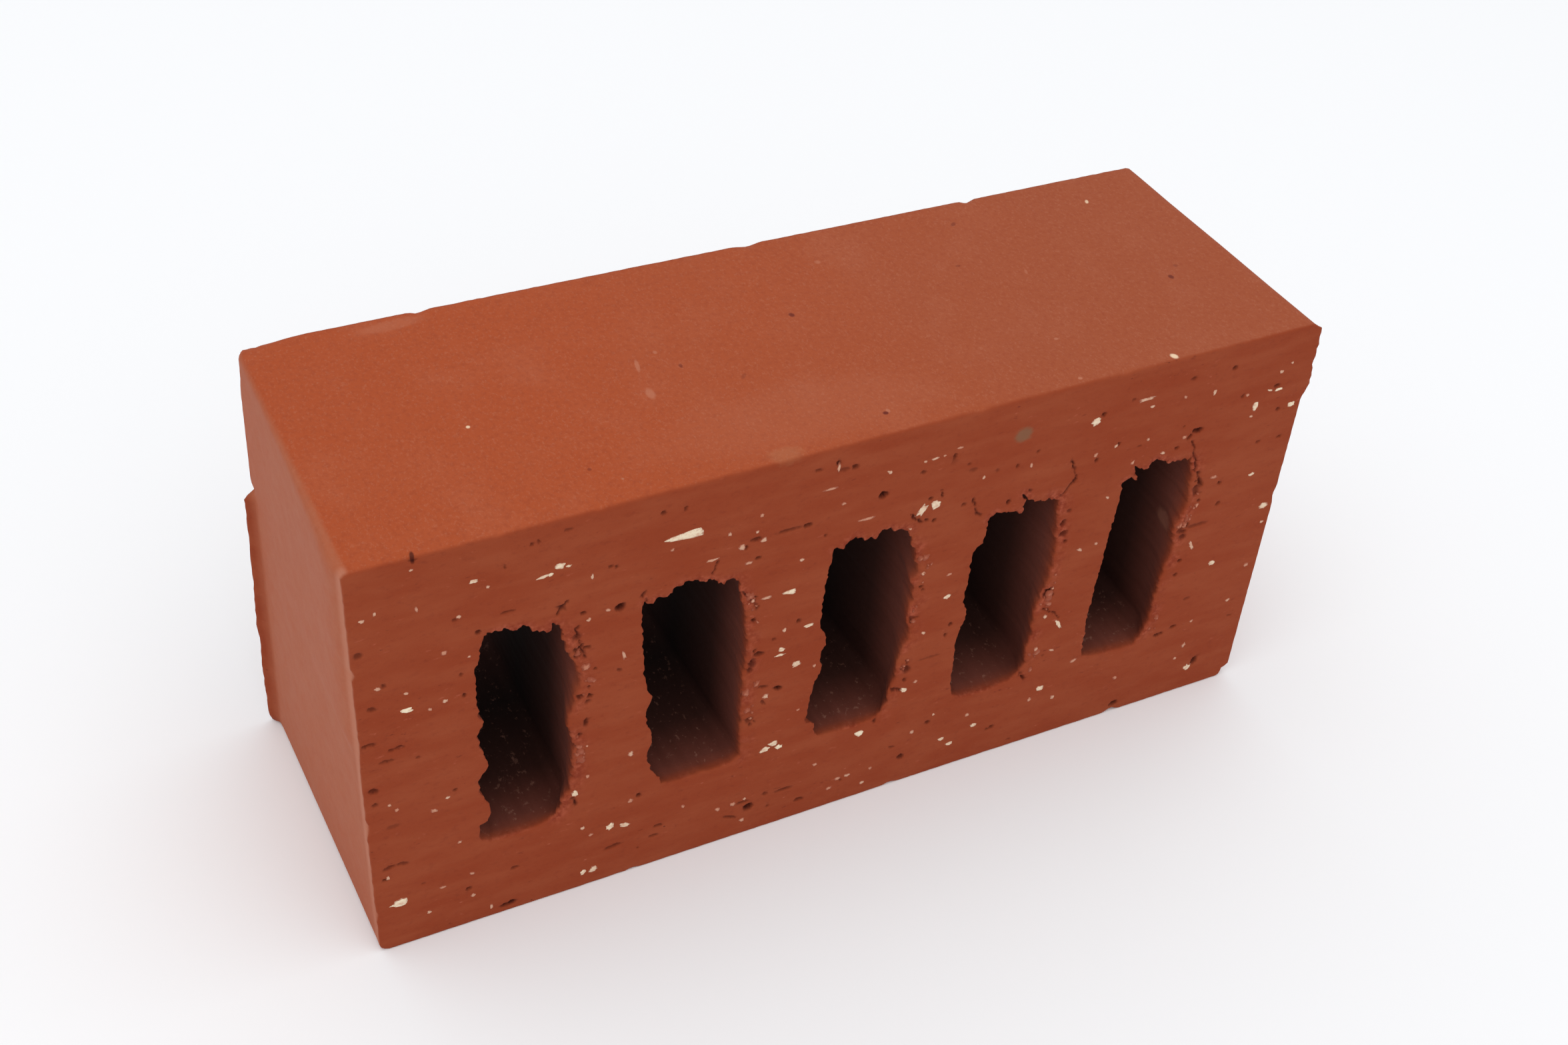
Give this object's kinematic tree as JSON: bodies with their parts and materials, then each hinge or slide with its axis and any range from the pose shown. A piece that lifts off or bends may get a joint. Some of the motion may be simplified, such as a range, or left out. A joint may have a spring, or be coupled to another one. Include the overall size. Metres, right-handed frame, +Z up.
{
  "type": "cored clay brick",
  "caption": "Extruded red clay brick with a row of rectangular cores through its thickness, standing on its long narrow side.",
  "frame": {"origin": "centre of the underside, the long narrow side that the brick stands on", "axes": "+X along the length, +Y along the extrusion from the front wire-cut face to the rear one, +Z up"},
  "size_m": [0.23, 0.076, 0.11],
  "materials": {
    "fired_clay": "matte fired clay, fine-grained, with small pale grains"
  },
  "bodies": {
    "root": {"brick": "fired_clay"}
  },
  "joints": []
}
